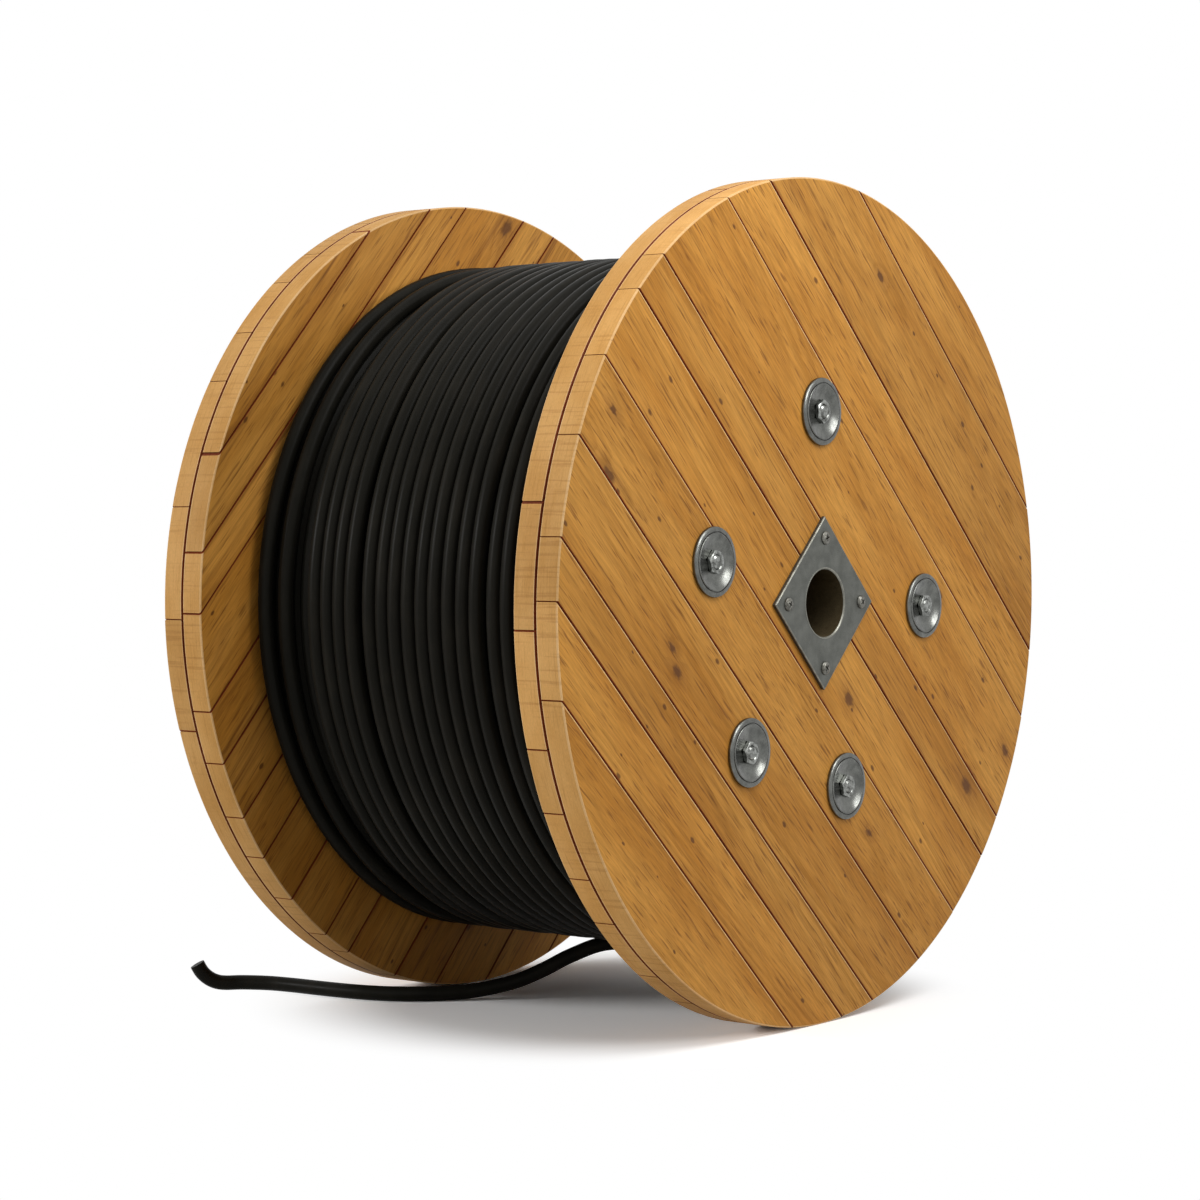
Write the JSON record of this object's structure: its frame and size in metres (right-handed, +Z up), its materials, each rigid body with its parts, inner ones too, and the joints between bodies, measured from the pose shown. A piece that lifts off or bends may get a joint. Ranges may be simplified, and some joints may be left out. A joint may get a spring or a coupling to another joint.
{
  "type": "wooden cable drum",
  "caption": "Wooden cable drum with crossed plank flanges, tie bolts on dished washers and steel spindle plates, wound with black cable that has a free end on the ground.",
  "frame": {"origin": "on the ground midway between the flanges, straight below the spindle axis", "axes": "+Y along the spindle bore from the front flange to the back flange, +Z up, +X to the right seen from the front"},
  "size_m": [1, 0.7797, 1],
  "materials": {
    "plank_wood": "honey coloured softwood planks, planed, fine grain with small knots",
    "stave_wood": "rough sawn softwood staves",
    "plate_steel": "dull galvanised steel plate with a bright bore edge",
    "washer_steel": "pressed galvanised steel, worn bright on the rim",
    "bolt_steel": "dull mottled galvanised steel",
    "cable_sheath": "matt black cable sheath"
  },
  "bodies": {
    "root": {"front_outer_planks": "plank_wood", "front_inner_planks": "plank_wood", "back_inner_planks": "plank_wood", "back_outer_planks": "plank_wood", "barrel_staves": "stave_wood", "front_spindle_plate": "plate_steel", "back_spindle_plate": "plate_steel", "cable_winding": "cable_sheath", "cable_tail": "cable_sheath", "tie_rod_1": "bolt_steel", "tie_rod_2": "bolt_steel", "tie_rod_3": "bolt_steel", "tie_rod_4": "bolt_steel", "tie_rod_5": "bolt_steel", "front_washer_1": "washer_steel", "front_washer_2": "washer_steel", "front_washer_3": "washer_steel", "front_washer_4": "washer_steel", "front_washer_5": "washer_steel", "back_washer_1": "washer_steel", "back_washer_2": "washer_steel", "back_washer_3": "washer_steel", "back_washer_4": "washer_steel", "back_washer_5": "washer_steel", "front_nut_1": "bolt_steel", "front_nut_2": "bolt_steel", "front_nut_3": "bolt_steel", "front_nut_4": "bolt_steel", "front_nut_5": "bolt_steel", "back_nut_1": "bolt_steel", "back_nut_2": "bolt_steel", "back_nut_3": "bolt_steel", "back_nut_4": "bolt_steel", "back_nut_5": "bolt_steel", "front_screw_1": "bolt_steel", "front_screw_2": "bolt_steel", "front_screw_3": "bolt_steel", "front_screw_4": "bolt_steel", "back_screw_1": "bolt_steel", "back_screw_2": "bolt_steel", "back_screw_3": "bolt_steel", "back_screw_4": "bolt_steel"}
  },
  "joints": []
}
